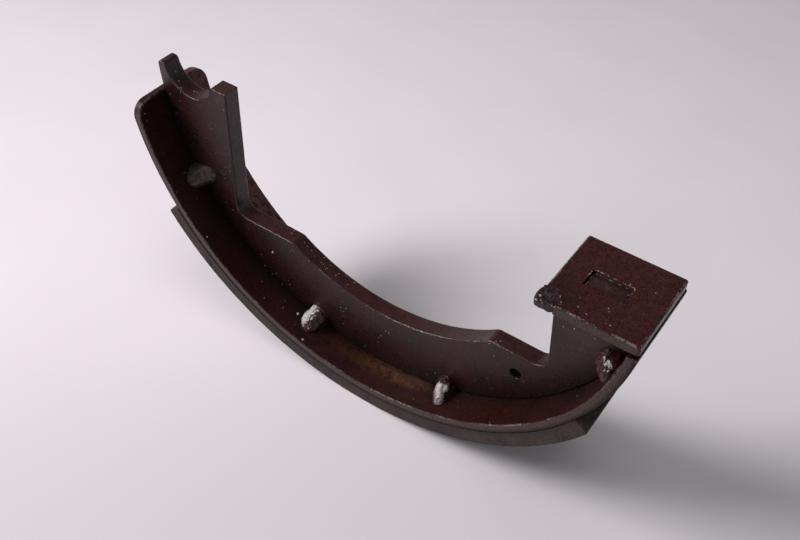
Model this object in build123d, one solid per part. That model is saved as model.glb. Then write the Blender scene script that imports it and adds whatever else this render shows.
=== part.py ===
from build123d import *
import math
import os

# A drum-brake shoe of T section: a curved table with a flat web standing inside it, a
# friction lining bonded outside it, and a square cam plate welded on the web's cam end.
# Frame: the origin is on the drum axis, in the middle of the shoe's width. +X runs from
# the anchor end towards the cam end, +Y along the drum axis and +Z up, away from the
# middle of the lining. Angles are counted from straight down, positive towards the cam
# end. Lengths are in millimetres.

# ---- Drum and overall width ----
drum_radius = 125.0
lining_clearance = 1.5
shoe_width = 40.0

# ---- Layers, from the drum inwards ----
lining_thickness = 6.6
bond_thickness = 0.4
bond_setback = 0.7
table_thickness = 4.0
web_thickness = 8.0

# ---- Where the table and the lining end, in degrees from straight down ----
table_anchor_angle = 82.5
table_cam_angle = 82.0
lining_anchor_angle = 57.0
lining_cam_angle = 59.0
table_corner_radius = 7.0
table_rim_chamfer = 0.4
lining_end_radius = 1.2

# ---- Web: a round window in the middle, a pocket at each side of it and two legs ----
web_depth = 30.5
window_centre_x = 1.5
window_centre_z = 1.0
window_corner_radius = 4.0
anchor_pocket_height = 44.9
cam_pocket_height = 49.5
anchor_pocket_radius = 5.0
cam_pocket_radius = 6.0
anchor_leg_lean = 1.5
cam_leg_lean = 3.0
web_rim_chamfer = 0.4

# ---- Web: half-round seat for the anchor pin, with a finger outside it ----
anchor_pin_radius = 12.5
anchor_clearance = 0.1
finger_thickness = 4.3
finger_tip_drop = 0.8
finger_tip_radius = 1.6
land_length = 7.6
land_drop = 3.0

# ---- Web: spring hole ----
spring_hole_radius = 2.5
spring_hole_angle = 42.4
spring_hole_inset = 12.5

# ---- Cam plate and the web's tenon in its slot ----
plate_length = 38.1
plate_width = 38.0
plate_thickness = 4.0
plate_drop = 10.7
plate_edge_inset = 1.5
plate_corner_radius = 1.0
plate_rim_chamfer = 0.4
slot_offset = 9.5
slot_length = 15.3
tenon_side_clearance = 0.15
tenon_end_clearance = 0.4
tenon_recess = 1.0

# ---- Welds ----
plate_weld_leg = 4.0
plate_weld_end_gap = 3.5
tack_bulge = 1.0
# Each station of a tack: its place as a share of the length, and the share of both legs there.
tack_stations = [(-0.5, 0.6), (-0.25, 0.92), (0.0, 1.0), (0.25, 0.92), (0.5, 0.6)]
# Each tack: its angle, its leg up the web, its leg across the table and its length.
tacks = [
    (-61.0, 12.0, 7.0, 11.0),
    (-17.2, 8.0, 10.0, 9.5),
    (19.8, 8.0, 11.0, 9.0),
    (68.5, 8.0, 9.0, 12.0),
]

# ---- Weld crust that fills the cam plate's burnt inner corner, on the side of -Y ----
crust_length = 8.5
crust_width = 7.5
crust_inner_bulge = 1.6
crust_near_bulge = 0.7
crust_recess = 0.1
crust_corner_radius = 2.0
crust_rim_chamfer = 0.7

# ---- Sizes that follow from those above ----
lining_outer_radius = drum_radius - lining_clearance
lining_inner_radius = lining_outer_radius - lining_thickness
table_outer_radius = lining_inner_radius - bond_thickness
table_inner_radius = table_outer_radius - table_thickness
web_half = web_thickness / 2

window_radius = table_inner_radius - web_depth + window_centre_z
anchor_floor_z = anchor_pocket_height - table_inner_radius
cam_floor_z = cam_pocket_height - table_inner_radius

anchor_seat_radius = anchor_pin_radius + anchor_clearance
anchor_x = anchor_seat_radius + finger_thickness - table_inner_radius
anchor_leg_top_x = anchor_x + anchor_seat_radius + land_length
anchor_leg_foot_x = anchor_leg_top_x - anchor_leg_lean

plate_top_z = -plate_drop
plate_bottom_z = plate_top_z - plate_thickness
plate_outer_x = table_outer_radius - plate_edge_inset
plate_inner_x = plate_outer_x - plate_length
cam_leg_foot_x = plate_inner_x + cam_leg_lean

slot_width = web_thickness + 2 * tenon_side_clearance
slot_centre_x = plate_inner_x + slot_offset + slot_length / 2
tenon_half = slot_length / 2 - tenon_end_clearance
tenon_top_z = plate_top_z - tenon_recess

far_away = 3 * drum_radius
touch = 0.01


def on_circle(radius, angle):
    """Point of the XZ plane at a radius from the drum axis, at an angle from straight down."""
    turn = math.radians(angle)
    return (radius * math.sin(turn), -radius * math.cos(turn))


def standing(profile, width):
    """Extrude a profile drawn in the XZ plane to a width, half to each side of it."""
    return extrude(Plane.XZ * profile, amount=width / 2, both=True)


def arc_strip(inner_radius, outer_radius, low_angle, high_angle):
    """Flat strip between two radii, from one angle to another, with radial ends."""
    middle = (low_angle + high_angle) / 2
    inner = [on_circle(inner_radius, angle) for angle in (low_angle, middle, high_angle)]
    outer = [on_circle(outer_radius, angle) for angle in (low_angle, middle, high_angle)]
    outline = [
        Line(inner[0], outer[0]),
        ThreePointArc(*outer),
        Line(outer[2], inner[2]),
        ThreePointArc(*inner),
    ]
    return make_face(Wire(outline))


def rectangle(low_x, high_x, low_z, high_z):
    """Flat rectangle between two x and two z values."""
    middle = Pos((low_x + high_x) / 2, (low_z + high_z) / 2)
    return middle * Rectangle(high_x - low_x, high_z - low_z)


def round_corner(face, x, z, radius):
    """Round the corner of a flat profile that lies nearest to (x, z)."""
    corner = face.vertices().sort_by_distance((x, z, 0))[0]
    return fillet(corner, radius)


def between_legs():
    """Space between the web's two legs, which both lean a little."""
    return Polygon(
        (anchor_leg_foot_x, -far_away),
        (cam_leg_foot_x, -far_away),
        (cam_leg_foot_x, cam_floor_z),
        (plate_inner_x, plate_bottom_z),
        (plate_inner_x, far_away),
        (anchor_leg_top_x, far_away),
        (anchor_leg_top_x, -land_drop),
        (anchor_leg_foot_x, anchor_floor_z),
        align=None,
    )


def window_profile():
    """Space that the web bends round: the round window and the pockets beside it."""
    space = Pos(window_centre_x, window_centre_z) * Circle(window_radius)
    space += rectangle(-far_away, window_centre_x, anchor_floor_z, far_away)
    space += rectangle(window_centre_x, far_away, cam_floor_z, far_away)
    return between_legs() & space


def round_window_corners(profile):
    """Round both pockets' corners, and where their floors run out into the window."""
    sides = (
        (-1, anchor_leg_foot_x, anchor_floor_z, anchor_pocket_radius),
        (1, cam_leg_foot_x, cam_floor_z, cam_pocket_radius),
    )
    for side, leg_x, floor_z, pocket_radius in sides:
        half_chord = math.sqrt(window_radius**2 - (floor_z - window_centre_z) ** 2)
        meeting_x = window_centre_x + side * half_chord
        profile = round_corner(profile, leg_x, floor_z, pocket_radius)
        profile = round_corner(profile, meeting_x, floor_z, window_corner_radius)
    return profile


def web_profile():
    """Outline of the web up to the cam plate's underside, without its tenon and hole."""
    profile = Circle(table_inner_radius)
    profile -= rectangle(-far_away, anchor_x, -finger_tip_drop, far_away)
    profile -= rectangle(anchor_x, 0, -land_drop, far_away)
    profile -= rectangle(0, far_away, plate_bottom_z, far_away)
    profile -= window_profile()
    profile -= Pos(anchor_x, 0) * Circle(anchor_seat_radius)
    profile = round_window_corners(profile)
    for tip_x in (-table_inner_radius, anchor_x - anchor_seat_radius):
        profile = round_corner(profile, tip_x, -finger_tip_drop, finger_tip_radius)
    return profile


def is_open_edge(edge):
    """Whether an edge of the web's faces touches neither the table nor the cam plate."""
    middle = edge @ 0.5
    inside_table = math.hypot(middle.X, middle.Z) < table_inner_radius - touch
    below_plate = middle.X < plate_inner_x or middle.Z < plate_bottom_z - touch
    return inside_table and below_plate


def make_web():
    """Flat web: its blank with dressed edges, a tenon on top and the spring hole."""
    web = standing(web_profile(), web_thickness)
    faces_across = web.faces().sort_by(Axis.Y)
    face_edges = faces_across[0].edges() + faces_across[-1].edges()
    web = chamfer([edge for edge in face_edges if is_open_edge(edge)], web_rim_chamfer)
    tenon = rectangle(
        slot_centre_x - tenon_half,
        slot_centre_x + tenon_half,
        plate_bottom_z - plate_thickness,
        tenon_top_z,
    )
    web += standing(tenon, web_thickness)
    hole_place = on_circle(table_inner_radius - spring_hole_inset, spring_hole_angle)
    hole = Pos(*hole_place) * Circle(spring_hole_radius)
    return web - standing(hole, 2 * web_thickness)


def make_table():
    """Rolled strip inside the lining, with both corners of its anchor end rounded."""
    strip = arc_strip(
        table_inner_radius, table_outer_radius, -table_anchor_angle, table_cam_angle
    )
    table = standing(strip, shoe_width)
    short_edges = table.edges().filter_by(GeomType.LINE).filter_by(
        lambda edge: edge.length < table_thickness + touch
    )
    anchor_corners = short_edges.sort_by(Axis.X)[:2]
    table = fillet(anchor_corners, table_corner_radius)
    rims = [edge for edge in table.edges() if is_table_rim(edge)]
    return chamfer(rims, table_rim_chamfer)


def is_table_rim(edge):
    """Whether an edge runs round the table's inner or outer face."""
    ends = [math.hypot((edge @ end).X, (edge @ end).Z) for end in (0, 1)]
    return abs(ends[0] - ends[1]) < touch


def make_bond():
    """Film of adhesive between table and lining, set back from the lining's sides."""
    film = arc_strip(
        table_outer_radius, lining_inner_radius, -lining_anchor_angle, lining_cam_angle
    )
    return standing(film, shoe_width - 2 * bond_setback)


def make_lining():
    """Friction lining, with the outer edge of each end rounded."""
    strip = arc_strip(
        lining_inner_radius, lining_outer_radius, -lining_anchor_angle, lining_cam_angle
    )
    for angle in (-lining_anchor_angle, lining_cam_angle):
        strip = round_corner(strip, *on_circle(lining_outer_radius, angle), lining_end_radius)
    return standing(strip, shoe_width)


def crust_outline():
    """Blob, seen from above, that the weld burnt into the cam plate's near inner corner."""
    blob = Polygon(
        (-crust_inner_bulge, crust_width / 2),
        (-crust_inner_bulge / 2, -crust_near_bulge),
        (crust_length * 2 / 3, -crust_near_bulge),
        (crust_length, crust_width / 4),
        (crust_length / 2, crust_width),
        (-crust_inner_bulge / 2, crust_width),
        align=None,
    )
    return Pos(plate_inner_x, -plate_width / 2) * fillet(blob.vertices(), crust_corner_radius)


def make_cam_plate():
    """Square plate on the web's cam end, with the tenon's slot and a burnt corner."""
    middle = Pos((plate_inner_x + plate_outer_x) / 2, 0)
    outline = middle * RectangleRounded(plate_length, plate_width, plate_corner_radius)
    plate = Pos(0, 0, plate_bottom_z) * extrude(outline, amount=plate_thickness)
    plate = chamfer(plate.faces().sort_by(Axis.Z)[-1].edges(), plate_rim_chamfer)
    slot = Pos(slot_centre_x, 0, plate_top_z) * Box(slot_length, slot_width, far_away)
    burn = Pos(0, 0, plate_bottom_z) * extrude(crust_outline(), amount=plate_thickness)
    return plate - slot - burn


def make_crust():
    """Weld metal in the cam plate's burnt corner, a little lower than the plate's face."""
    height = plate_thickness - crust_recess
    crust = Pos(0, 0, plate_bottom_z) * extrude(crust_outline(), amount=height)
    faces_upwards = crust.faces().sort_by(Axis.Z)
    rims = faces_upwards[0].edges() + faces_upwards[-1].edges()
    return chamfer(rims, crust_rim_chamfer)


def make_plate_weld(side):
    """Hollow fillet weld under the cam plate, along one face of the web."""
    root = (side * web_half, plate_bottom_z)
    plate_toe = (side * (web_half + plate_weld_leg), plate_bottom_z)
    web_toe = (side * web_half, plate_bottom_z - plate_weld_leg)
    throat = plate_weld_leg * (1 - math.sqrt(0.5))
    hollow = (side * (web_half + throat), plate_bottom_z - throat)
    outline = [Line(root, plate_toe), ThreePointArc(plate_toe, hollow, web_toe), Line(web_toe, root)]
    section = Plane.YZ * make_face(Wire(outline))
    start_x = cam_leg_foot_x + plate_weld_end_gap
    table_end_x = on_circle(table_inner_radius, table_cam_angle)[0]
    end_x = table_end_x - plate_weld_leg - plate_weld_end_gap
    return Pos(start_x, 0, 0) * extrude(section, amount=end_x - start_x)


def tack_section(side, web_leg, table_leg, share, place):
    """Section of a tack weld across the seam, at a share of its full size."""
    web_y = side * web_half
    root_r = table_inner_radius + table_thickness / 2
    toe_y = web_y + side * table_leg * share
    toe_r = table_inner_radius - web_leg * share
    slope = math.hypot(web_leg, table_leg)
    middle_y = (web_y + toe_y) / 2 + side * tack_bulge * share * web_leg / slope
    middle_r = (table_inner_radius + toe_r) / 2 - tack_bulge * share * table_leg / slope
    outline = [
        Line((web_y, -root_r), (web_y, -toe_r)),
        ThreePointArc((web_y, -toe_r), (middle_y, -middle_r), (toe_y, -table_inner_radius)),
        Line((toe_y, -table_inner_radius), (toe_y, -root_r)),
        Line((toe_y, -root_r), (web_y, -root_r)),
    ]
    return Pos(place, 0, 0) * (Plane.YZ * make_face(Wire(outline)))


def make_tack(side, angle, web_leg, table_leg, length):
    """Short tack weld in the corner between web and table, thinner at both ends."""
    sections = [
        tack_section(side, web_leg, table_leg, share, along * length)
        for along, share in tack_stations
    ]
    lump = Rot(0, -angle, 0) * loft(sections, ruled=True)
    ring = Circle(far_away) - Circle(table_inner_radius)
    return lump - standing(ring, 2 * shoe_width)


def save(name, solid):
    """Write one piece to its STEP file."""
    export_step(solid, os.path.join("parts", name + ".step"))


def main():
    """Build every piece of the shoe and write it out."""
    os.makedirs("parts", exist_ok=True)
    save("web", make_web())
    save("table", make_table())
    save("bond_line", make_bond())
    save("lining", make_lining())
    save("cam_plate", make_cam_plate())
    save("weld_crust", make_crust())
    for side_name, side in (("near", -1), ("far", 1)):
        save("plate_weld_" + side_name, make_plate_weld(side))
        for number, tack in enumerate(tacks, start=1):
            save("tack_weld_%s_%d" % (side_name, number), make_tack(side, *tack))


main()
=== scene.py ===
import math
from collections import namedtuple

import bmesh
import bpy
from mathutils import Matrix, Vector, noise
from mathutils.bvhtree import BVHTree


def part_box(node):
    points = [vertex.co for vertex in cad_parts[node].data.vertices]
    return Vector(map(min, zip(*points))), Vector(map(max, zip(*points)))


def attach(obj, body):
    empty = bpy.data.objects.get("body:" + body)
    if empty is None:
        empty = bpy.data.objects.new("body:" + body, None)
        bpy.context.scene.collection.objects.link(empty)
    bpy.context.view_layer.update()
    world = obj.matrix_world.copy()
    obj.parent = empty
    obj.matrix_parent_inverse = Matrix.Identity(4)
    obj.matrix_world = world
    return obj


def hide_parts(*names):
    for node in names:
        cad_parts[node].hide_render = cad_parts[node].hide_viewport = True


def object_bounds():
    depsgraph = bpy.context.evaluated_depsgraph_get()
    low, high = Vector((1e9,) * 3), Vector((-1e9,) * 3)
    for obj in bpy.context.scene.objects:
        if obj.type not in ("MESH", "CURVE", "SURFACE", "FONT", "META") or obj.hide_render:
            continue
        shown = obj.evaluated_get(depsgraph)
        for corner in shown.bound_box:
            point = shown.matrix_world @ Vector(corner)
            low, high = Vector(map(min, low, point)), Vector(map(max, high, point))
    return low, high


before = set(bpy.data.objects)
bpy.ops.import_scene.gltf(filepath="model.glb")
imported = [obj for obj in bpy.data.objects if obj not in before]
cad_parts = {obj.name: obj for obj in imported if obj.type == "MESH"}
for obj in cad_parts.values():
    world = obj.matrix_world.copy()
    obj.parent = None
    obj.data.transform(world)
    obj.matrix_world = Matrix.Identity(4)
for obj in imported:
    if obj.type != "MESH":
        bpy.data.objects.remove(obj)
cad_bounds = [list(corner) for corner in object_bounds()]

bl_info = {
    "name": "Drum Brake Shoe Dressing",
    "version": (1, 0, 0),
    "blender": (4, 5, 0),
    "location": "View3D > Sidebar > Brake Shoe",
    "description": "Dresses a packed brake shoe with painted steel, friction lining and welds",
    "category": "Object",
}

MM = 0.001
BODY = "root"
SIDES = {"near": -1, "far": 1}

# Axes of the frame: the drum axis is Y, and the floor touches the lining's lowest point.
DRUM_AXIS = Vector((0, 1, 0))
FLOOR_HEIGHT = cad_bounds[0][2]
WEB_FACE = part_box("web")[1].y
CAM_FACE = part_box("cam_plate")[1].z


def outer_radius(node):
    """Largest distance of a CAD node from the drum axis."""
    return max(Vector((v.co.x, v.co.z)).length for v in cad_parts[node].data.vertices)


# The web's rim lies on the table's inside, and the adhesive on its outside.
TABLE_INNER_RADIUS = outer_radius("web")
TABLE_OUTER_RADIUS = outer_radius("table")


def linear(hex_colour):
    """Linear RGBA of an sRGB hex colour."""
    channels = [int(hex_colour[i : i + 2], 16) / 255 for i in (1, 3, 5)]
    return tuple(
        c / 12.92 if c <= 0.04045 else ((c + 0.055) / 1.055) ** 2.4 for c in channels
    ) + (1.0,)


def length_property(name, description, millimetres):
    """Float property that holds a length, given in millimetres."""
    return bpy.props.FloatProperty(
        name=name,
        description=description,
        default=millimetres * MM,
        min=0.0,
        subtype="DISTANCE",
        unit="LENGTH",
    )


def colour_property(name, description, hex_colour):
    """Colour property, given as an sRGB hex value."""
    return bpy.props.FloatVectorProperty(
        name=name,
        description=description,
        default=linear(hex_colour),
        size=4,
        min=0.0,
        max=1.0,
        subtype="COLOR",
    )


class ShoeSizes(bpy.types.PropertyGroup):
    """Sizes of the shoe's edges, grain and welds."""

    steel_edge: length_property("Steel edge", "Rounding of the steel's worn edges", 0.25)
    lining_edge: length_property("Lining edge", "Rounding of the lining's edges", 0.3)
    # Real paint grains are about 0.2 mm wide, and are drawn coarser so that they show.
    paint_grain: length_property("Paint grain", "Width of one grain of the paint", 0.5)
    paint_run: length_property("Paint run", "Width of the paint's uneven patches", 3.0)
    paint_cloud: length_property("Paint cloud", "Width of the paint's thicker areas", 14.0)
    speck_spacing: length_property("Speck spacing", "Distance between bright specks", 1.3)
    # The corner reach is how far the painted shade in corners and recesses reaches.
    corner_grime: length_property("Corner grime", "How far grime reaches from a corner", 12.0)
    wear_width: length_property("Wear width", "How far the paint is worn from an edge", 0.8)
    fibre_length: length_property("Fibre length", "Length of the lining's coarse chips", 1.1)
    ripple_pitch: length_property("Ripple pitch", "Distance between a weld's ripples", 1.5)
    bead_roughness: length_property("Bead roughness", "Height of the lumps on a weld", 0.35)


class ShoeColours(bpy.types.PropertyGroup):
    """Colours of the shoe's finishes and of the floor."""

    paint: colour_property("Paint", "Brown-black paint", "#240d0e")
    # Also the colour of painted shade: low on the anchor leg and on the tenon's top.
    dark_paint_and_shade: colour_property("Dark paint", "Thicker, blacker paint", "#1a0b0b")
    # Painted shade: the colour that corners and recesses are darkened towards.
    shade_tone: colour_property("Paint pits", "Dark pits of the paint's grain", "#0e0807")
    paint_rust: colour_property("Dusty paint", "Paint under a film of rust dust", "#341516")
    heat_stain: colour_property("Heat stain", "Olive-brown stain beside a weld", "#38200d")
    tan_stain: colour_property("Tan stain", "Paler end of the stain beside a weld", "#563527")
    # Bare steel, whose bright colour also stands for painted glints on the edges and specks.
    bare_steel_and_glint: colour_property("Bare steel", "Steel where the paint is worn off", "#b9a7a0")
    lining: colour_property("Lining", "Friction material", "#36261e")
    lining_chip: colour_property("Lining chips", "Pale chips in the friction material", "#685349")
    lining_dark: colour_property("Dark lining", "Resin between the chips", "#1d1512")
    adhesive: colour_property("Adhesive", "Cured adhesive film", "#4a2019")
    # Partly painted highlight: the pale patches on the welds stand for scale and for the light their
    # glossy bumps catch.
    slag_and_highlight: colour_property("Slag", "Silver-grey scale on a weld", "#9a9294")
    deep_stain: colour_property("Deep stain", "Red-brown stain in the table's bend", "#200803")
    weld: colour_property("Weld", "Painted weld metal", "#3a1922")
    # Painted light: the paler grey of tack 1's weld metal stands for the light its smooth facet
    # catches.
    lit_facet_weld: colour_property("Dull weld", "Weld metal under grey spray", "#453637")
    # Painted sheen: the grey the sides of the steel are lightened towards, for the pale floor they
    # reflect.
    spray: colour_property("Spray", "Thin grey-brown paint on the sides", "#423534")
    # Painted light: the paler purple-brown the table's far inside is lightened towards.
    far_light_tone: colour_property("Primer", "Purple-brown primer under thin paint", "#5a3a3a")
    # Painted sheen: the paler grey the cam leg is lightened towards.
    cam_leg_sheen: colour_property("Pale spray", "Thicker grey spray on the cam leg", "#5c4e4b")
    # Dark along the bond line: the adhesive's own colour, and painted shade in the groove between table
    # and lining.
    seam: colour_property("Seam", "Adhesive and grime along the bond line", "#1d1214")
    crust: colour_property("Crust", "Burnt weld metal of the plate's corner", "#35222a")
    floor: colour_property("Floor", "Pale floor", "#e1d9df")


# ---- Materials ----

# Colour sockets of a Mix node that mixes colours.
MIX_LOW = 6
MIX_HIGH = 7


def add_node(tree, kind, inputs, **settings):
    """Add a node with its settings; an input is a value, a socket, or a node to read from."""
    node = tree.nodes.new(kind)
    for name, value in settings.items():
        setattr(node, name, value)
    for key, value in inputs.items():
        if isinstance(value, bpy.types.Node):
            value = next(socket for socket in value.outputs if socket.enabled)
        if isinstance(value, bpy.types.NodeSocket):
            tree.links.new(value, node.inputs[key])
        else:
            node.inputs[key].default_value = value
    return node


def new_material(name):
    """Empty node material and its tree."""
    material = bpy.data.materials.new(name)
    material.use_nodes = True
    material.node_tree.nodes.clear()
    return material, material.node_tree


# Rays per shading point that feel for an edge or a corner nearby.
CORNER_SAMPLES = 6
# A chip of paint on an edge is a few grains wide, and its rim is this soft.
GRAINS_PER_CHIP = 1.6
CHIP_RIM = 0.08


def worn_and_glinting_edges(tree, place, sizes, upwards, worn_from):
    """Share that is 1 on an upper outer edge and 0 a wear width from it, in broken chips of worn paint
    and painted glints.
    """
    rounded = add_node(
        tree, "ShaderNodeBevel", {"Radius": sizes.wear_width}, samples=CORNER_SAMPLES
    )
    plain = add_node(tree, "ShaderNodeNewGeometry", {}).outputs["Normal"]
    likeness = add_node(
        tree, "ShaderNodeVectorMath", {0: rounded, 1: plain}, operation="DOT_PRODUCT"
    ).outputs["Value"]
    edge = add_node(
        tree, "ShaderNodeMapRange", {"Value": likeness, "From Min": 0.995, "From Max": 0.93}
    )
    # Only edges that face up are bare and carry painted glints.
    raised = add_node(
        tree, "ShaderNodeMapRange", {"Value": upwards, "From Min": 0.02, "From Max": 0.3}
    )
    edge = add_node(tree, "ShaderNodeMath", {0: edge, 1: raised}, operation="MULTIPLY")
    chips = add_node(
        tree,
        "ShaderNodeTexNoise",
        {"Vector": place, "Scale": 1 / (GRAINS_PER_CHIP * sizes.paint_grain), "Detail": 3.0},
    )
    patches = add_node(
        tree, "ShaderNodeTexNoise", {"Vector": place, "Scale": 1 / sizes.paint_cloud, "Detail": 2.0}
    )
    both = add_node(tree, "ShaderNodeMath", {0: chips, 1: patches}, operation="ADD")
    broken = add_node(
        tree,
        "ShaderNodeMapRange",
        {"Value": both, "From Min": worn_from, "From Max": worn_from + CHIP_RIM},
    )
    return add_node(tree, "ShaderNodeMath", {0: edge, 1: broken}, operation="MULTIPLY")


# How the paint lies on one part, as shares of its full effect. An edge is bare, with a painted glint,
# where the noise is above worn_from, and gleam is the specular level.
# A finish's corner share sets how dark the painted shade in its corners gets.
PaintFinish = namedtuple(
    "PaintFinish", "dust grime worn_from gleam side_spray outer_stains", defaults=[1.0]
)
# A finish's side share sets how strong the painted sheen on its sides is.
WEB_FINISH = PaintFinish(dust=0.6, grime=0.9, worn_from=1.03, gleam=0.34, side_spray=0.0)
TABLE_FINISH = PaintFinish(
    dust=0.15, grime=0.9, worn_from=1.03, gleam=0.10, side_spray=0.8, outer_stains=0.25
)
PLATE_FINISH = PaintFinish(dust=0.9, grime=0.2, worn_from=1.06, gleam=0.22, side_spray=0.6)

# How far grime reaches from the bond line, and within which share of that it is full.
SEAM_REACH = 2.0 * MM
SEAM_CORE = 0.2
# A stain or a flock of specks is at its full strength within this share of its reach.
FULL_SHARE = 0.3
# A cell of the speck pattern holds a speck where its chance passes this.
SPECK_CHANCE = 1.41
SPECK_CHANCE_RIM = 0.06
# How much likelier a speck is in the middle of a flock.
FLOCK_SHARE = 0.54
# Depth of the paint's bumps, and how much its patches count in them beside its grain.
PAINT_RELIEF = 0.18 * MM
PATCH_RELIEF = 0.8
# Bare steel and scale are dusty, so they reflect only this much as metal does.
DUSTY_METALLIC = 0.1


def near_seam(tree, place, seam, reach):
    """Share that is 1 at the seam's radius from the drum axis and 0 a reach away from it.

    A reach above 0 is outwards, and one below 0 inwards.
    """
    flat = add_node(
        tree, "ShaderNodeVectorMath", {0: place, 1: (1.0, 0.0, 1.0)}, operation="MULTIPLY"
    )
    radius = add_node(tree, "ShaderNodeVectorMath", {0: flat}, operation="LENGTH")
    return add_node(
        tree,
        "ShaderNodeMapRange",
        {
            "Value": radius.outputs["Value"],
            "From Min": seam + reach,
            "From Max": seam + reach * SEAM_CORE,
        },
    )


def ball_distance(tree, place, middle, reach):
    """Distance from the middle of a flattened ball, which is 1 on its rim."""
    apart = add_node(tree, "ShaderNodeVectorMath", {0: place, 1: middle}, operation="SUBTRACT")
    apart = add_node(tree, "ShaderNodeVectorMath", {0: apart, 1: reach}, operation="DIVIDE")
    away = add_node(tree, "ShaderNodeVectorMath", {0: apart}, operation="LENGTH")
    return away.outputs["Value"]


def bright_specks_and_glints(tree, place, clouds, sizes, flocks):
    """Share that is 1 on single bright specks, where a grain of paint has come off, and on painted
    glints.
    """
    cells = add_node(
        tree, "ShaderNodeTexVoronoi", {"Vector": place, "Scale": 1 / sizes.speck_spacing}
    )
    core = add_node(
        tree,
        "ShaderNodeMapRange",
        {"Value": cells.outputs["Distance"], "From Min": 0.20, "From Max": 0.12},
    )
    # Specks are likelier where the paint is thin, and in the flocks.
    chance = add_node(tree, "ShaderNodeMath", {0: cells.outputs["Color"], 1: clouds}, operation="ADD")
    for middle, reach in flocks:
        away = ball_distance(tree, place, middle, reach)
        more = add_node(
            tree,
            "ShaderNodeMapRange",
            {"Value": away, "From Min": 1.0, "From Max": FULL_SHARE, "To Max": FLOCK_SHARE},
        )
        chance = add_node(tree, "ShaderNodeMath", {0: chance, 1: more}, operation="ADD")
    chosen = add_node(
        tree,
        "ShaderNodeMapRange",
        {"Value": chance, "From Min": SPECK_CHANCE, "From Max": SPECK_CHANCE + SPECK_CHANCE_RIM},
    )
    return add_node(tree, "ShaderNodeMath", {0: core, 1: chosen}, operation="MULTIPLY")


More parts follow.
